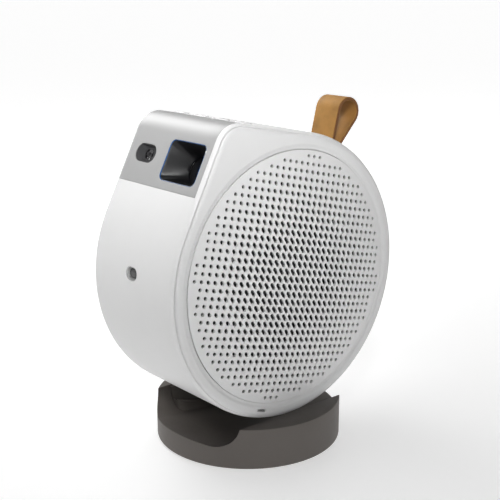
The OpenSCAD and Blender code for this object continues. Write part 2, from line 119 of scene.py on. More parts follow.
def outline():
    """Stations once round the drum's side view: (point, outward normal) in its (Y, Z) plane."""
    stations = [(pol(a, DRUM_R), pol(a)) for a in spread(FACE_A, TOP_A + 360, OUTLINE_STEPS)]
    top, face = pol(TOP_A), pol(FACE_A)
    tangent, start = pol(TOP_A, DRUM_R), CORNER_C + top * CORNER_R
    stations += [(tangent.lerp(start, i / FLAT_STEPS), top) for i in range(1, FLAT_STEPS)]
    stations += [(CORNER_C + pol(a, CORNER_R), pol(a)) for a in spread(TOP_A, FACE_A, CORNER_STEPS)]
    tangent, start = pol(FACE_A, DRUM_R), CORNER_C + face * CORNER_R
    stations += [(start.lerp(tangent, i / FLAT_STEPS), face) for i in range(1, FLAT_STEPS)]
    return stations


def plate_stretch():
    """The part of the outline that the front plate covers, from its lower edge over the corner."""
    top, face = pol(TOP_A), pol(FACE_A)
    low = pol(FACE_A, DRUM_R) + Vector((face.y, -face.x)) * PLATE_Y
    start = CORNER_C + face * CORNER_R
    stations = [(low.lerp(start, i / 10), face) for i in range(10)]
    stations += [(CORNER_C + pol(a, CORNER_R), pol(a)) for a in spread(FACE_A, TOP_A, CORNER_STEPS)]
    stations.append((CORNER_C + top * CORNER_R + Vector((top.y, -top.x)) * 1.0, top))
    return stations


def arc(cu, cv, r, a0, a1, count):
    """count + 1 points of a circle about (cu, cv), between two angles in degrees."""
    return [(cu + r * math.cos(math.radians(a)), cv + r * math.sin(math.radians(a)))
            for a in spread(a0, a1, count)]


def rounded_rect(w, h, r, steps=6):
    """A closed rounded rectangle about the origin, counterclockwise from its right side."""
    points = []
    for sx, sy, a in ((1, 1, 0), (-1, 1, 90), (-1, -1, 180), (1, -1, 270)):
        points += arc(sx * (w / 2 - r), sy * (h / 2 - r), r, a, a + 90, steps)
    return points


def stadium(w, h, steps=12):
    """A closed rectangle with two round ends."""
    return arc(w / 2 - h / 2, 0, h / 2, -90, 90, steps) + arc(h / 2 - w / 2, 0, h / 2, 90, 270, steps)


def circle(r, count=48):
    return arc(0, 0, r, 0, 360 - 360 / count, count - 1)


# ---- meshes ------------------------------------------------------------------------------------

def place(name, verts, faces, where, body, slot, material, sharp=28.0, replaces=()):
    """A piece from millimetre points, set in its frame, smooth but for edges over sharp degrees."""
    mesh = bpy.data.meshes.new(name)
    mesh.from_pydata([where @ (Vector(v) * MM) for v in verts], [], faces)
    piece = bpy.data.objects.new(name, mesh)
    bpy.context.scene.collection.objects.link(piece)
    tidy_mesh(piece, sharp)
    mesh.materials.append(material)
    if body:
        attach(piece, body)
    for node in replaces:
        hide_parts(node)
    return piece


def tidy_mesh(piece, sharp=28.0):
    """Faces turned outward, shaded smooth, with edges over sharp degrees kept crisp."""
    work = bmesh.new()
    work.from_mesh(piece.data)
    bmesh.ops.remove_doubles(work, verts=work.verts, dist=1e-7)
    bmesh.ops.recalc_face_normals(work, faces=work.faces)
    for face in work.faces:
        face.smooth = True
    for edge in work.edges:
        edge.smooth = len(edge.link_faces) == 2 and edge.calc_face_angle(0) < math.radians(sharp)
    work.to_mesh(piece.data)
    work.free()


def loft(rings, closed=True, caps=True):
    """Quads between rings of equal length. closed joins the last ring to the first."""
    n = len(rings[0])
    verts = [p for ring in rings for p in ring]
    faces = []
    for k in range(len(rings) if closed else len(rings) - 1):
        a, b = k * n, (k + 1) % len(rings) * n
        faces += [(a + i, a + (i + 1) % n, b + (i + 1) % n, b + i) for i in range(n)]
    if not closed and caps:
        faces += [tuple(range(n)), tuple(range((len(rings) - 1) * n, len(rings) * n))]
    return verts, faces


def turned_disc(profile, count=96):
    """A solid from a (radius, height) profile that starts and ends on the axis."""
    rings = [[(r * math.cos(t), r * math.sin(t), z) for t in
              (2 * math.pi * k / count for k in range(count))] for r, z in profile[1:-1]]
    verts, faces = loft(rings, closed=False, caps=False)
    bottom, top = len(verts), len(verts) + 1
    verts += [(0, 0, profile[0][1]), (0, 0, profile[-1][1])]
    last = (len(rings) - 1) * count
    for i in range(count):
        j = (i + 1) % count
        faces += [(bottom, j, i), (top, last + i, last + j)]
    return verts, faces


def prism(points, z0, z1):
    """A closed outline carried from height z0 to z1."""
    return loft([[(x, y, z0) for x, y in points], [(x, y, z1) for x, y in points]], closed=False)


def at_rim(angle, x=0.0, y=0.0):
    """The frame on the drum's outline at an angle: local Z points outward."""
    turn = Matrix.Rotation(math.radians(angle - 90), 4, "X")
    return DRUM @ turn @ Matrix.Translation(Vector((x, y, DRUM_R)) * MM)


def cut(piece, parts, where):
    """Takes a solid out of a piece."""
    tool = place("cutter", *parts, where, None, None, MATERIALS["grey_plastic"])
    boolean = piece.modifiers.new("cut", "BOOLEAN")
    boolean.operation, boolean.solver, boolean.object = "DIFFERENCE", "EXACT", tool
    apply_modifiers(piece)
    bpy.data.objects.remove(tool)


def apply_modifiers(piece):
    """Makes a piece's modifiers part of its mesh."""
    evaluated = piece.evaluated_get(bpy.context.evaluated_depsgraph_get())
    mesh = bpy.data.meshes.new_from_object(evaluated)
    piece.modifiers.clear()
    piece.data = mesh


def soften(piece, width=0.3, limit=40.0, segments=3, sharp=28.0):
    """Rounds every crisp edge of a piece by width millimetres."""
    bevel = piece.modifiers.new("soften", "BEVEL")
    bevel.width, bevel.segments = width * MM, segments
    bevel.limit_method, bevel.angle_limit = "ANGLE", math.radians(limit)
    bevel.use_clamp_overlap = True
    apply_modifiers(piece)
    tidy_mesh(piece, sharp)


# ---- materials ---------------------------------------------------------------------------------

def new_material(name, color, roughness, metallic=0.0, specular=0.5, coat=0.0, sheen=0.0,
                 transmission=0.0, ior=1.5):
    """A Principled material and handles for building its nodes."""
    material = bpy.data.materials.new(name)
    material.use_nodes = True
    nodes, links = material.node_tree.nodes, material.node_tree.links
    shader = nodes["Principled BSDF"]
    shader.inputs["Base Color"].default_value = (*color, 1)
    shader.inputs["Roughness"].default_value = roughness
    shader.inputs["Metallic"].default_value = metallic
    shader.inputs["Specular IOR Level"].default_value = specular
    shader.inputs["Coat Weight"].default_value = coat
    shader.inputs["Coat Roughness"].default_value = 0.08
    shader.inputs["Sheen Weight"].default_value = sheen
    shader.inputs["Transmission Weight"].default_value = transmission
    shader.inputs["IOR"].default_value = ior
    return material, nodes, links, shader


def noise(nodes, links, scale, detail=4.0, stretch=(1, 1, 1)):
    """A noise pattern over the object's own space, scale in features per metre."""
    coordinates = nodes.new("ShaderNodeTexCoord")
    mapping = nodes.new("ShaderNodeMapping")
    mapping.inputs["Scale"].default_value = stretch
    pattern = nodes.new("ShaderNodeTexNoise")
    pattern.inputs["Scale"].default_value = scale
    pattern.inputs["Detail"].default_value = detail
    links.new(coordinates.outputs["Object"], mapping.inputs["Vector"])
    links.new(mapping.outputs["Vector"], pattern.inputs["Vector"])
    return pattern.outputs["Fac"]


def ramp(nodes, links, source, stops):
    """A colour ramp with (position, colour) stops."""
    node = nodes.new("ShaderNodeValToRGB")
    elements = node.color_ramp.elements
    for element, (position, color) in zip(elements, (stops[0], stops[-1])):
        element.position, element.color = position, (*color, 1)
    for position, color in stops[1:-1]:
        elements.new(position).color = (*color, 1)
    links.new(source, node.inputs["Fac"])
    return node.outputs["Color"]


def bump(nodes, links, shader, source, height, previous=None):
    """Relief of a pattern, height in millimetres."""
    node = nodes.new("ShaderNodeBump")
    node.inputs["Strength"].default_value = 1.0
    node.inputs["Distance"].default_value = height * MM
    links.new(source, node.inputs["Height"])
    if previous is not None:
        links.new(previous, node.inputs["Normal"])
    links.new(node.outputs["Normal"], shader.inputs["Normal"])
    return node.outputs["Normal"]


def spread_roughness(nodes, links, shader, source, low, high):
    """Roughness that follows a pattern between two values."""
    node = nodes.new("ShaderNodeMapRange")
    node.inputs["To Min"].default_value, node.inputs["To Max"].default_value = low, high
    links.new(source, node.inputs["Value"])
    links.new(node.outputs["Result"], shader.inputs["Roughness"])


def moulded(name, color, roughness, grain=2600.0, height=0.012, vary=0.06, **more):
    """Moulded plastic or paint: a fine grain, and a slow drift of tone and gloss."""
    material, nodes, links, shader = new_material(name, color, roughness, **more)
    drift = noise(nodes, links, 38.0, 3.0)
    dark = [c * (1 - vary) for c in color]
    links.new(ramp(nodes, links, drift, [(0.3, dark), (0.7, color)]), shader.inputs["Base Color"])
    gloss = noise(nodes, links, 260.0)
    spread_roughness(nodes, links, shader, gloss, roughness - 0.05, roughness + 0.05)
    bump(nodes, links, shader, noise(nodes, links, grain, 2.0), height)
    return material


def metal(name, color, roughness, stretch=(1, 1, 1), scale=900.0, height=0.006, vary=0.1,
          metallic=1.0):
    """Metal with a fine tooled or blasted surface."""
    material, nodes, links, shader = new_material(name, color, roughness, metallic=metallic)
    grain = noise(nodes, links, scale, 5.0, stretch)
    dark = [c * (1 - vary) for c in color]
    links.new(ramp(nodes, links, grain, [(0.35, dark), (0.65, color)]), shader.inputs["Base Color"])
    spread_roughness(nodes, links, shader, grain, roughness - 0.06, roughness + 0.08)
    bump(nodes, links, shader, grain, height)
    return material


def leather_material(name, color):
    """Smooth tan leather: pebbled grain, soft tone drift, creases."""
    material, nodes, links, shader = new_material(name, color, 0.55, sheen=0.05, specular=0.35)
    drift = noise(nodes, links, 70.0, 5.0)
    dark, light = [c * 0.72 for c in color], [min(1, c * 1.18) for c in color]
    links.new(ramp(nodes, links, drift, [(0.3, dark), (0.5, color), (0.72, light)]),
              shader.inputs["Base Color"])
    coordinates = nodes.new("ShaderNodeTexCoord")
    cells = nodes.new("ShaderNodeTexVoronoi")
    cells.inputs["Scale"].default_value = 1500.0
    links.new(coordinates.outputs["Object"], cells.inputs["Vector"])
    first = bump(nodes, links, shader, cells.outputs["Distance"], 0.07)
    bump(nodes, links, shader, noise(nodes, links, 420.0, 6.0), 0.06, first)
    spread_roughness(nodes, links, shader, drift, 0.48, 0.66)
    return material


def board_material(name, color):
    """Solder resist over copper tracks."""
    material, nodes, links, shader = new_material(name, color, 0.35)
    coordinates = nodes.new("ShaderNodeTexCoord")
    brick = nodes.new("ShaderNodeTexBrick")
    brick.inputs["Scale"].default_value = 420.0
    brick.inputs["Mortar Size"].default_value = 0.04
    brick.inputs["Color1"].default_value = (*color, 1)
    brick.inputs["Color2"].default_value = (*[c * 0.7 for c in color], 1)
    brick.inputs["Mortar"].default_value = (*[min(1, c * 2.2) for c in color], 1)
    links.new(coordinates.outputs["Object"], brick.inputs["Vector"])
    links.new(brick.outputs["Color"], shader.inputs["Base Color"])
    bump(nodes, links, shader, brick.outputs["Fac"], 0.03)
    return material


def fabric_cone(name, color):
    """Woven speaker cone: two crossed bands of threads."""
    material, nodes, links, shader = new_material(name, color, 0.6)
    coordinates = nodes.new("ShaderNodeTexCoord")
    checks = nodes.new("ShaderNodeTexChecker")
    checks.inputs["Scale"].default_value = 900.0
    checks.inputs["Color1"].default_value = (*color, 1)
    checks.inputs["Color2"].default_value = (*[c * 0.6 for c in color], 1)
    links.new(coordinates.outputs["Object"], checks.inputs["Vector"])
    links.new(checks.outputs["Color"], shader.inputs["Base Color"])
    bump(nodes, links, shader, checks.outputs["Fac"], 0.05)
    return material


MATERIALS = {
    "shell_white": moulded("shell_white", (0.68, 0.68, 0.68), 0.42, vary=0.02),
    "grille_white": moulded("grille_white", (0.68, 0.68, 0.68), 0.45, grain=3400.0, vary=0.02),
    "plate_silver": metal("plate_silver", (0.42, 0.42, 0.42), 0.48, scale=2400.0, vary=0.03,
                          height=0.004, metallic=0.35),
    "black_trim": moulded("black_trim", (0.008, 0.008, 0.009), 0.34, height=0.004),
    "lens_glass": moulded("lens_glass", (0.02, 0.035, 0.08), 0.06, height=0.0, coat=1.0),
    "black_plastic": moulded("black_plastic", (0.018, 0.018, 0.019), 0.5),
    "grey_plastic": moulded("grey_plastic", (0.08, 0.08, 0.082), 0.5),
    "dark_gloss": moulded("dark_gloss", (0.010, 0.009, 0.011), 0.07, height=0.0, coat=0.8),
    "machined_steel": metal("machined_steel", (0.55, 0.55, 0.56), 0.3),
    "circuit_green": board_material("circuit_green", (0.01, 0.09, 0.035)),
    "copper": metal("copper", (0.72, 0.34, 0.18), 0.25, (1, 30, 30), 60.0),
    "aluminium": metal("aluminium", (0.6, 0.61, 0.62), 0.38),
    "cell_wrap": moulded("cell_wrap", (0.03, 0.11, 0.32), 0.25, coat=0.3),
    "speaker_metal": moulded("speaker_metal", (0.03, 0.03, 0.032), 0.4),
    "speaker_rubber": moulded("speaker_rubber", (0.018, 0.018, 0.018), 0.65, height=0.03),
    "speaker_cone": fabric_cone("speaker_cone", (0.06, 0.06, 0.063)),
    "button_white": moulded("button_white", (0.66, 0.66, 0.66), 0.4, vary=0.02),
    "tan_leather": leather_material("tan_leather", (0.37, 0.205, 0.062)),
    "dock_grey": moulded("dock_grey", (0.155, 0.140, 0.128), 0.5, grain=3200.0, height=0.02),
    "dock_dark": moulded("dock_dark", (0.150, 0.135, 0.123), 0.5, grain=3200.0, height=0.02),
    "pin_white": moulded("pin_white", (0.85, 0.85, 0.82), 0.25, vary=0.03),
    "foot_rubber": moulded("foot_rubber", (0.015, 0.015, 0.015), 0.75, height=0.04),
    "ballast_iron": metal("ballast_iron", (0.12, 0.12, 0.12), 0.6, height=0.05),
    # painted reflection: glossy blue that stands in for the blue glint of the lens coating on the window's edge
    "painted_blue_reflection": moulded("painted_blue_reflection", (0.02, 0.10, 0.28), 0.1, height=0.0, coat=1.0),
    # near-black: the focus camera recess's own dark plastic, and painted shade on the side panels' seam walls
    "dark_recess_and_seam_shade": moulded("dark_recess_and_seam_shade", (0.040, 0.040, 0.042), 0.55),
    "leather_edge": moulded("leather_edge", (0.24, 0.11, 0.035), 0.7, height=0.06, vary=0.3),
}


def dress_frame():
    """Gives every CAD node its slot's procedural material."""
    slots = {s["node"]: s["material_slot"] for s in frame["record"]["subparts"]}
    for name, node in frame["nodes"].items():
        node.data.materials.clear()
        node.data.materials.append(MATERIALS[slots[name]])


# ---- casing ------------------------------------------------------------------------------------

def edge_arc(x0, x1, steps=5):
    """The rounded edge as (depth, x) points, from x0 out to x1."""
    a0, a1 = (math.degrees(math.asin((x - HALF_W + EDGE_R) / EDGE_R)) for x in (x0, x1))
    return [(EDGE_R * (1 - math.cos(a)), HALF_W - EDGE_R * (1 - math.sin(a)))
            for a in (math.radians(t) for t in spread(a0, a1, steps))]


def swept(section, stations, closed=True):
    """A closed (depth, x) section carried along the outline."""
    return loft([[(x, *(p - n * d)) for d, x in section] for p, n in stations], closed=closed)


def build_rim():
    """The rim with the front plate's recess and every opening through it."""
    edge = edge_arc(HALF_W - EDGE_R, SEAM_X)
    section = (edge + [(WALL, SEAM_X), (WALL, -SEAM_X)]
               + [(d, -x) for d, x in reversed(edge)] + [(0, x) for x in spread(-34, 34, 8)])
    rim = place("rim_shell_skin", *swept(section, outline()), DRUM, "projector", "shell_white",
                MATERIALS["shell_white"], replaces=["rim_shell"])
    half, above, below = PLATE_W / 2 + SEAM_GAP, -2, PLATE_T + 0.1
    recess = [(above, -half), (below, -half), (below, half), (above, half)]
    stations = plate_stretch()
    (first, n0), (last, n1) = stations[0], stations[-1]
    stations[0] = (first + (first - stations[1][0]).normalized() * SEAM_GAP, n0)
    stations[-1] = (last + (last - stations[-2][0]).normalized() * SEAM_GAP, n1)
    cut(rim, swept(recess, stations, closed=False), DRUM)
    w, h, r = WINDOW
    gap = 0.4
    cut(rim, prism(rounded_rect(w + gap, h + gap, r), *THROUGH), at_face(*LENS))
    cut(rim, prism(stadium(AF_SIZE[0] + gap, AF_SIZE[1] + gap), *THROUGH), at_face(*AF))
    cut(rim, prism(stadium(*IR_CUT), *THROUGH), at_rim(IR_A))
    cut(rim, prism(rounded_rect(*PORT_CUT), *THROUGH), at_rim(PORT_A))
    slot = rounded_rect(STRAP_W + 0.6, 2 * STRAP_T + 0.6, 1)
    cut(rim, prism(slot, *THROUGH), at_rim(STRAP_A))
    for i in range(4):
        cut(rim, prism(circle(BUTTON_R + 0.25, 40), *THROUGH),
            at_rim(TOP_A, BUTTON_STEP * (i - 1.5), BUTTON_Y))
    soften(rim, 0.25)


def at_face(x, y):
    """The frame on the flat lens face: local Z points outward."""
    return at_rim(FACE_A, x, y)


def build_plate():
    """The silver plate: a thin sheet bent over the corner, with its two openings."""
    half = PLATE_W / 2
    section = [(0, x) for x in spread(-half, half, 8)] + [(PLATE_T, half), (PLATE_T, -half)]
    plate = place("front_plate_skin", *swept(section, plate_stretch(), closed=False), DRUM,
                  "projector", "plate_silver", MATERIALS["plate_silver"], replaces=["front_plate"])
    cut(plate, prism(rounded_rect(*WINDOW), -3, 2), at_face(*LENS))
    cut(plate, prism(stadium(*AF_SIZE), -3, 2), at_face(*AF))
    soften(plate, 0.2)


# the side panel's groove and grille seat, as (radius, x)
GROOVE = [(82.6, 42.0), (82.2, 41.98), (81.7, 41.85), (81.2, 41.6), (80.7, 41.35), (80.2, 41.15),
          (79.7, 41.06), (79.2, 41.02), (78.95, 40.95), (78.9, 40.8), (78.9, 39.8), (76.0, 39.8),
          (76.0, 38.2)]


def build_panel(name, side, replaced):
    """A side panel: rounded outer edge, flat face, a shallow groove and the grille's seat.

    Its inner edge wall gets a near-black material, painted shade, so it shows as the seam. The right panel has the
    cable-lock slot.
    """
    lip = math.sqrt(EDGE_R ** 2 - (PANEL_X - HALF_W + EDGE_R) ** 2)
    outer = ([(WALL + 0.2, HALF_W - 3.8), (WALL + 0.2, PANEL_X),
              (EDGE_R - lip + 0.15, PANEL_X)]
             + edge_arc(PANEL_X + 0.12, HALF_W, 6) + [(EDGE_R + 1.0, HALF_W)])
    rings = []
    for p, n in outline():
        ring = [(side * x, *(p - n * d)) for d, x in outer]
        inner = (p - n * (EDGE_R + 1.0)).normalized()
        ring += [(side * x, *(inner * r)) for r, x in GROOVE]
        rings.append(ring)
    panel = place(name, *loft(rings), DRUM, "projector", "shell_white", MATERIALS["shell_white"],
                  sharp=50.0, replaces=[replaced])
    # painted shade: the wall facing the seam gap is coloured near-black where the gap would be in shade
    panel.data.materials.append(MATERIALS["dark_recess_and_seam_shade"])
    for face in panel.data.polygons:
        if abs(face.normal.x) > 0.9 and abs(abs(face.center.x) - PANEL_X) < 0.05:
            face.material_index = 1
    if side > 0:
        slot = [(y, x) for x, y in rounded_rect(*LOCK_SLOT)]
        cut(panel, prism(slot, *LOCK_DEPTHS), at_rim(LOCK_A, HALF_W - 0.7))
        tidy_mesh(panel, 50.0)


def dome(x, y):
    """Height of the grille's outer face over the side panel's plane."""
    t = math.hypot(x, y) / GRILLE_R
    return HALF_W - 0.5 + (DOME_H + 0.5) * (1 - t * t)


PERFORATION = 4.68                 # pitch of the holes
REACH_SQUARED = 258                # holes reach this far from the middle, in pitches squared
HOLE_SHARE, SLOT_SHARE = 0.44, 0.62


def hole(i, j):
    """One perforation: round near the rim, drawn out into a slant slot towards the middle."""
    share = 1 - math.hypot(i, j) / math.sqrt(REACH_SQUARED)
    r = 0.5 * PERFORATION * (HOLE_SHARE + 0.06 * share)
    reach = 0.5 * PERFORATION * SLOT_SHARE * min(1, share * 1.6) * math.sqrt(0.5)
    ends = []
    for sign, a0 in ((1, -135), (-1, 45)):
        ends += arc(i * PERFORATION + sign * reach, j * PERFORATION - sign * reach, r,
                    a0, a0 + 180, 6)
    return ends


def perforated_sheet():
    """The flat perforated disc as (points, triangles, closed loops of point numbers)."""
    reach = int(math.sqrt(REACH_SQUARED))
    loops = [circle(GRILLE_R - 0.02, 192)]
    for i in range(-reach, reach + 1):
        for j in range(-reach, reach + 1):
            if i * i + j * j <= REACH_SQUARED:
                loops.append(list(reversed(hole(i, j))))
    points, chains = [], []
    for loop in loops:
        chains.append(list(range(len(points), len(points) + len(loop))))
        points += [Vector(p) for p in loop]
    made, _, triangles, origin, *_ = delaunay_2d_cdt(points, [], chains, 2, 1e-6)
    where = {}
    for new, old in enumerate(origin):
        for o in old:
            where[o] = new
    return made, triangles, [[where[o] for o in chain] for chain in chains]


def build_grilles():
    """The two perforated sheets, domed."""
    flat, triangles, loops = perforated_sheet()
    count = len(flat)
    faces = [tuple(t) for t in triangles]
    faces += [tuple(i + count for i in reversed(t)) for t in triangles]
    for loop in loops:
        faces += [(a, b, b + count, a + count) for a, b in zip(loop, loop[1:] + loop[:1])]
    for name, side in (("grille_right", 1), ("grille_left", -1)):
        verts = [(side * (dome(*p) - inset), *p) for inset in (0, SHEET_T) for p in flat]
        place(name + "_sheet", verts, faces, DRUM, "projector", "grille_white",
              MATERIALS["grille_white"], sharp=35.0, replaces=[name])


# ---- lens face ---------------------------------------------------------------------------------

def window_ring(w, h, r, z, per_side=8):
    """A rounded rectangle with points along its sides too, and the matching circle angles."""
    ring, angles, pad = [], [], 7
    for k, (sx, sy) in enumerate(((1, 1), (-1, 1), (-1, -1), (1, -1))):
        corner = arc(sx * (w / 2 - r), sy * (h / 2 - r), r, 90 * k, 90 * k + 90, 8)
        ring += [(x, y, z) for x, y in corner]
        middle = math.degrees(math.atan2(sy * h, sx * w)) % 360
        angles += spread(middle - pad, middle + pad, 8)
        nx, ny = ((-1, 1), (-1, -1), (1, -1), (1, 1))[k]
        start = arc(nx * (w / 2 - r), ny * (h / 2 - r), r, 90 * k + 90, 90 * k + 90, 1)[0]
        following = math.degrees(math.atan2(ny * h, nx * w)) % 360
        if following < middle:
            following += 360
        for t in (i / per_side for i in range(1, per_side)):
            x, y = (u + (v - u) * t for u, v in zip(corner[-1], start))
            ring.append((x, y, z))
            angles.append(middle + pad + (following - middle - 2 * pad) * t)
    return ring, angles


def circle_ring(r, z, angles):
    """Points of a level circle at the given angles in degrees."""
    return [(r * math.cos(math.radians(a)), r * math.sin(math.radians(a)), z) for a in angles]


def mixed(a, b, t):
    """The ring a share t of the way from ring a to ring b."""
    return [tuple(p + (q - p) * t for p, q in zip(u, v)) for u, v in zip(a, b)]


def build_hood():
    """The window's funnel: flat slanting walls with rounded corners, down to the round lens."""
    w, h, r = WINDOW
    mouth, angles = window_ring(w - 1.3, h - 1.3, r - 0.6, -0.75)
    throat = circle_ring(LENS_R, -HOOD_DEPTH + 1.0, angles)
    rings = [circle_ring(LENS_R, -HOOD_DEPTH + 0.1, angles)]
    rings += [mixed(throat, mouth, t) for t in spread(0, 1, 12)]
    rings += [window_ring(w - 0.9, h - 0.9, r - 0.4, -0.5)[0],
              window_ring(w - 0.3, h - 0.3, r - 0.2, -0.5)[0],
              window_ring(w - 0.3, h - 0.3, r - 0.2, -3.0)[0],
              window_ring(w + 1.6, h - 0.3, r, -3.4)[0],
              circle_ring(LENS_R + 2.2, -HOOD_DEPTH + 0.1, angles)]
    place("lens_hood_funnel", *loft(rings), at_face(*LENS), "projector", "black_trim",
          MATERIALS["black_trim"], sharp=32.0, replaces=["lens_hood"])
    # painted reflection: the window's thin lip is coloured blue to show the lens coating's blue glint
    lip = [window_ring(w - a, h - a, r - a / 2, z)[0]
           for a, z in ((0.2, -0.5), (0.2, -0.12), (0.45, 0.0), (0.75, -0.08), (1.1, -0.5))]
    place("window_lip", *loft(lip), at_face(*LENS), "projector", "lens_glass", MATERIALS["painted_blue_reflection"])


def build_focus_camera():
    """The focus camera's recess: a flat floor with a lens hole, and one slanting end."""
    w, h = AF_SIZE[0] - 0.3, AF_SIZE[1] - 0.3
    depth, lens_x, lens_r, back = 2.5, 0.5, 4.0, -6

    def ring(inset, z, slant=0.0):
        points = stadium(w - 2 * inset, h - 2 * inset, 16)
        return [(x + (FLOOR_END - x) * slant if x < FLOOR_END else x, y, z) for x, y in points]

    top, floor = ring(0.5, -0.45), ring(0.7, -depth, 1.0)
    opening = [(lens_x + lens_r * math.cos(t), lens_r * math.sin(t)) for t in
               (math.atan2(y, x - lens_x) for x, y, _ in floor)]
    rings = [ring(0, back), ring(0, -0.4), ring(0.25, -0.25), top, floor,
             *([(x, y, z) for x, y in opening] for z in (-depth, -depth - 0.4, back))]
    place("af_bezel_recess", *loft(rings), at_face(*AF), "projector", "black_trim",
          MATERIALS["dark_recess_and_seam_shade"], sharp=30.0, replaces=["af_bezel"])
    profile = [(0, -5.5), (3.9, -5.5), (3.9, -3.1), (3.6, -2.9), (3.3, -2.9), (3.1, -3.3),
               (2.2, -3.6), (2.0, -3.45), (1.2, -3.2), (0, -3.1)]
    place("af_lens_glass", *turned_disc(profile, 48), at_face(AF[0] + lens_x, AF[1]), "projector",
          "dark_gloss", MATERIALS["dark_gloss"], replaces=["af_lens"])


def build_receiver():
    """The infrared receiver on the rim: a light ring round a dark rounded window."""
    rings = [[(x, y, z) for x, y in stadium(w, h)] for w, h, z in
             ((9.0, 6.0, -4.8), (9.0, 6.0, -1.6), (9.4, 6.4, -1.2), (10.4, 7.4, -0.7),
              (10.9, 7.9, -0.9), (10.9, 7.9, -4.8))]
    place("ir_bezel_ring", *loft(rings), at_rim(IR_A), "projector", "plate_silver",
          MATERIALS["plate_silver"], replaces=["ir_bezel"])
    rings = [[(x, y, z) for x, y in stadium(w, h)] for w, h, z in
             ((8.9, 5.9, -4.7), (8.9, 5.9, -2.2), (8.3, 5.3, -1.9), (6.5, 3.5, -1.6), (3.2, 0.4, -1.5))]
    place("ir_window_glass", *loft(rings, closed=False), at_rim(IR_A), "projector", "dark_gloss",
          MATERIALS["dark_gloss"], replaces=["ir_window"])


# ---- controls, strap ---------------------------------------------------------------------------

def build_buttons():
    """Four round caps in a row, each with a shallow dish."""
    rise, r = BUTTON_RISE, BUTTON_R
    profile = [(0, -3.6), (r, -3.6)] + arc(r - 0.5, rise - 0.5, 0.5, 0, 80, 5)
    profile += [(r - 1.2, rise - 0.03), (r - 2.4, rise - 0.22), (0, rise - 0.3)]
    for i, name in enumerate(("power", "mode", "volume_down", "volume_up")):
        node, body = "button_" + name, name + "_button"
        place(node + "_cap", *turned_disc(profile, 64),
              at_rim(TOP_A, BUTTON_STEP * (i - 1.5), BUTTON_Y), body, "button_white",
              MATERIALS["button_white"], replaces=[node])


def build_strap():
    """A leather band folded into a loop; its two ends go down through the slot."""
    mid_r, half_t, root = LOOP_R - STRAP_T / 2, STRAP_T / 2, 0.6
    reach = math.hypot(half_t, STRAP_H - root)
    lean = math.degrees(math.atan2(half_t, STRAP_H - root))
    open_a = math.degrees(math.acos(mid_r / reach))
    first = -90 + lean + open_a - 2 * lean
    path = [((half_t, z), (1, 0)) for z in spread(-6.5, root, 4)]
    touch = arc(0, STRAP_H, mid_r, first, first, 1)[0]
    normal = pol(first)
    path += [((half_t + (touch[0] - half_t) * t, root + (touch[1] - root) * t), tuple(normal))
             for t in spread(0, 1, 14)[1:-1]]
    path += [((mid_r * math.cos(math.radians(a)), STRAP_H + mid_r * math.sin(math.radians(a))),
              tuple(pol(a))) for a in spread(first, 90, 24)]
    half = path + [((-x, z), (-nx, nz)) for (x, z), (nx, nz) in reversed(path[:-1])]
    section = fillet([(half_t, STRAP_W / 2), (half_t, -STRAP_W / 2), (-half_t, -STRAP_W / 2),
                      (-half_t, STRAP_W / 2)], 0.5)
    turn = Matrix.Rotation(math.radians(STRAP_LEAN), 4, "X")
    rings = []
    for (y, z), (ny, nz) in half:
        leaning = turn if z > root else Matrix.Identity(4)
        rings.append([tuple(leaning @ Vector((x, y + ny * d, z + nz * d))) for d, x in section])
    strap = place("strap_band", *loft(rings, closed=False), at_rim(STRAP_A), "projector",
                  "tan_leather", MATERIALS["tan_leather"], sharp=50.0, replaces=["strap"])
    strap.data.materials.append(MATERIALS["leather_edge"])
    across = (DRUM.to_3x3() @ Vector((1, 0, 0))).normalized()
    for face in strap.data.polygons:
        face.material_index = int(abs(face.normal.dot(across)) > 0.6)


def fillet(corners, r, steps=4):
    """A closed outline of (u, v) corners, each rounded to radius r."""
    points = []
    for i, corner in enumerate(corners):
        p, before = Vector(corner), Vector(corners[i - 1])
        after = Vector(corners[(i + 1) % len(corners)])
        u, v = (before - p).normalized(), (after - p).normalized()
        half = u.angle(v) / 2
        centre = p + (u + v).normalized() * (r / math.sin(half))
        start, end = p + u * (r / math.tan(half)) - centre, p + v * (r / math.tan(half)) - centre
        a0 = math.degrees(math.atan2(start.y, start.x))
        turn = math.degrees(math.atan2(start.x * end.y - start.y * end.x, start.dot(end)))
        points += arc(centre.x, centre.y, r, a0, a0 + turn, steps)
    return points


# ---- dock --------------------------------------------------------------------------------------

def build_dock():
    """The round body with a hollow channel across it, sunk from a saddle with rounded flanks."""
    profile = [(0, CAVITY_TOP), (CAVITY_R, CAVITY_TOP), (CAVITY_R, FOOT_GAP), (FOOT_R, FOOT_GAP)]
    profile += arc(DOCK_R - 1.2, 2.0, 1.2, -80, 0, 5)
    profile += arc(DOCK_R - 0.5, LEDGE_Z - 0.5, 0.5, 0, 90, 4)
    dock = place("dock_body", *turned_disc(profile + [(0, LEDGE_Z)], 160), DOCK, "dock", "dock_grey",
                 MATERIALS["dock_grey"], replaces=["dock_shell"])
    half = [(COVE_X + COVE_R * math.sin(t), COVE_R * (1 - math.cos(t)))
            for t in (math.radians(3 * i) for i in range(29))]
    half.append((half[-1][0], 40.0))
    section = [(-x, h) for x, h in reversed(half)] + half
    rings = []
    for turn in (math.radians(t) for t in spread(-SADDLE_TURN, SADDLE_TURN, SADDLE_STEPS)):
        rings.append([(x, (FLOOR_R - h) * math.sin(turn),
                       FLOOR_MID + FLOOR_R - (FLOOR_R - h) * math.cos(turn)) for x, h in section])
    cut(dock, loft(rings, closed=False), DOCK)
    soften(dock, 0.35, limit=30.0)


def soften_node(name, width=0.2):
    """Eases a CAD node's crisp edges for the light, without touching its mesh."""
    bevel = frame["nodes"][name].modifiers.new("soften", "BEVEL")
    bevel.width, bevel.segments = width * MM, 2
    bevel.limit_method, bevel.angle_limit = "ANGLE", math.radians(40)


# ---- stage -------------------------------------------------------------------------------------

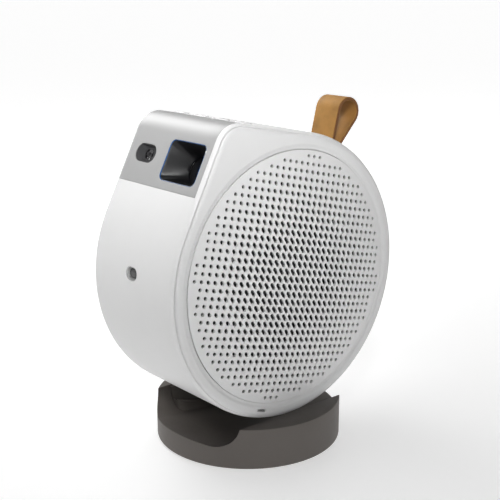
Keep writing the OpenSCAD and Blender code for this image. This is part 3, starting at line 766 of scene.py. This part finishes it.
CAMERA_AT = Vector((0.4830, -0.4021, 0.2910))
AZIMUTH, ELEVATION = 50.11, 14.93
FOCAL_SHARE = 1024 / 500
SKY = [(0.0, (0.92,) * 3), (0.13, (0.90,) * 3), (0.22, (0.04,) * 3), (1.0, (0.04,) * 3)]
FLOOR_SPAN = 30
GLOW_FROM, GLOW_TO = (0.2, 1.2), (0.60, 0.93)


def build_camera():
    """The camera at the photograph's angle."""
    camera = bpy.data.objects.new("camera", bpy.data.cameras.new("camera"))
    bpy.context.scene.collection.objects.link(camera)
    camera.data.sensor_width = 36
    camera.data.lens = 36 * FOCAL_SHARE
    a, e = math.radians(AZIMUTH), math.radians(ELEVATION)
    back = Vector((math.sin(a) * math.cos(e), -math.cos(a) * math.cos(e), math.sin(e)))
    camera.location = CAMERA_AT
    camera.rotation_mode = "QUATERNION"
    camera.rotation_quaternion = (-back).to_track_quat("-Z", "Y")
    bpy.context.scene.camera = camera


def hang(name, light, at, aim):
    """Puts a light in the studio, turned to a point."""
    lamp = bpy.data.objects.new(name, light)
    bpy.context.scene.collection.objects.link(lamp)
    lamp.location = at
    lamp.rotation_mode = "QUATERNION"
    lamp.rotation_quaternion = (Vector(aim) - Vector(at)).to_track_quat("-Z", "Y")


def area_light(name, at, aim, size, power):
    light = bpy.data.lights.new(name, "AREA")
    light.shape, light.size, light.size_y = "RECTANGLE", *size
    light.energy = power
    hang(name, light, at, aim)


def spot_light(name, at, aim, cone, power):
    """A spot whose light fades softly from the middle of its cone, given in degrees."""
    light = bpy.data.lights.new(name, "SPOT")
    light.spot_size, light.spot_blend = math.radians(cone), 1.0
    light.shadow_soft_size, light.energy = 0.12, power
    hang(name, light, at, aim)


def build_sky(scene):
    """A pale band round the horizon under a dark sky."""
    world = bpy.data.worlds.new("studio")
    world.use_nodes = True
    nodes, links = world.node_tree.nodes, world.node_tree.links
    direction = nodes.new("ShaderNodeTexCoord")
    parts = nodes.new("ShaderNodeSeparateXYZ")
    links.new(direction.outputs["Generated"], parts.inputs["Vector"])
    sky = ramp(nodes, links, parts.outputs["Z"], SKY)
    links.new(sky, nodes["Background"].inputs["Color"])
    nodes["Background"].inputs["Strength"].default_value = 1.0
    scene.world = world


def build_floor(scene):
    """A plain pale floor that glows more with distance, so that it runs into the sky."""
    s = FLOOR_SPAN
    floor = bpy.data.objects.new("floor", bpy.data.meshes.new("floor"))
    floor.data.from_pydata([(-s, -s, 0), (s, -s, 0), (s, s, 0), (-s, s, 0)], [], [(0, 1, 2, 3)])
    material, nodes, links, shader = new_material("floor", (0.92, 0.92, 0.92), 0.7)
    tone = noise(nodes, links, 3.0)
    links.new(ramp(nodes, links, tone, [(0.3, (0.49,) * 3), (0.7, (0.51,) * 3)]),
              shader.inputs["Base Color"])
    shader.inputs["Emission Color"].default_value = (1, 1, 1, 1)
    coordinates = nodes.new("ShaderNodeTexCoord")
    away = nodes.new("ShaderNodeVectorMath")
    away.operation = "LENGTH"
    links.new(coordinates.outputs["Object"], away.inputs[0])
    reach = nodes.new("ShaderNodeMapRange")
    for end, distance, glow in zip(("Min", "Max"), GLOW_FROM, GLOW_TO):
        reach.inputs["From " + end].default_value = distance
        reach.inputs["To " + end].default_value = glow
    links.new(away.outputs["Value"], reach.inputs["Value"])
    links.new(reach.outputs["Result"], shader.inputs["Emission Strength"])
    floor.data.materials.append(material)
    scene.collection.objects.link(floor)


def build_studio():
    """Sky, soft lights and floor, and how the picture shows them."""
    scene = bpy.context.scene
    scene.view_settings.gamma = 0.86
    scene.view_settings.view_transform = "Standard"
    build_sky(scene)
    aim = (0, 0, 0.16)
    area_light("top", (-0.45, -0.2, 1.25), aim, (0.9, 1.0), 7.0)
    area_light("left", (-1.0, 0.0, 0.8), aim, (0.6, 0.6), 5.0)
    area_light("front", (-0.7, -0.9, 0.6), aim, (0.8, 0.8), 1.5)
    area_light("back", (-0.5, 0.9, 0.7), aim, (0.8, 0.8), 1.8)
    spot_light("key", (0.42, -0.40, 0.62), (0.03, -0.06, 0.27), 19, 48)
    spot_light("low", (0.76, -0.22, 0.27), (-0.03, 0, 0.005), 11, 26)
    build_floor(scene)


build_camera()
build_studio()
dress_frame()
build_rim()
build_plate()
build_panel("panel_right_skin", 1, "panel_right")
build_panel("panel_left_skin", -1, "panel_left")
build_grilles()
build_hood()
build_focus_camera()
build_receiver()
build_buttons()
build_strap()
build_dock()
for node_name in ("dock_key", "io_panel", "hdmi_socket", "usb_c_socket"):
    soften_node(node_name)
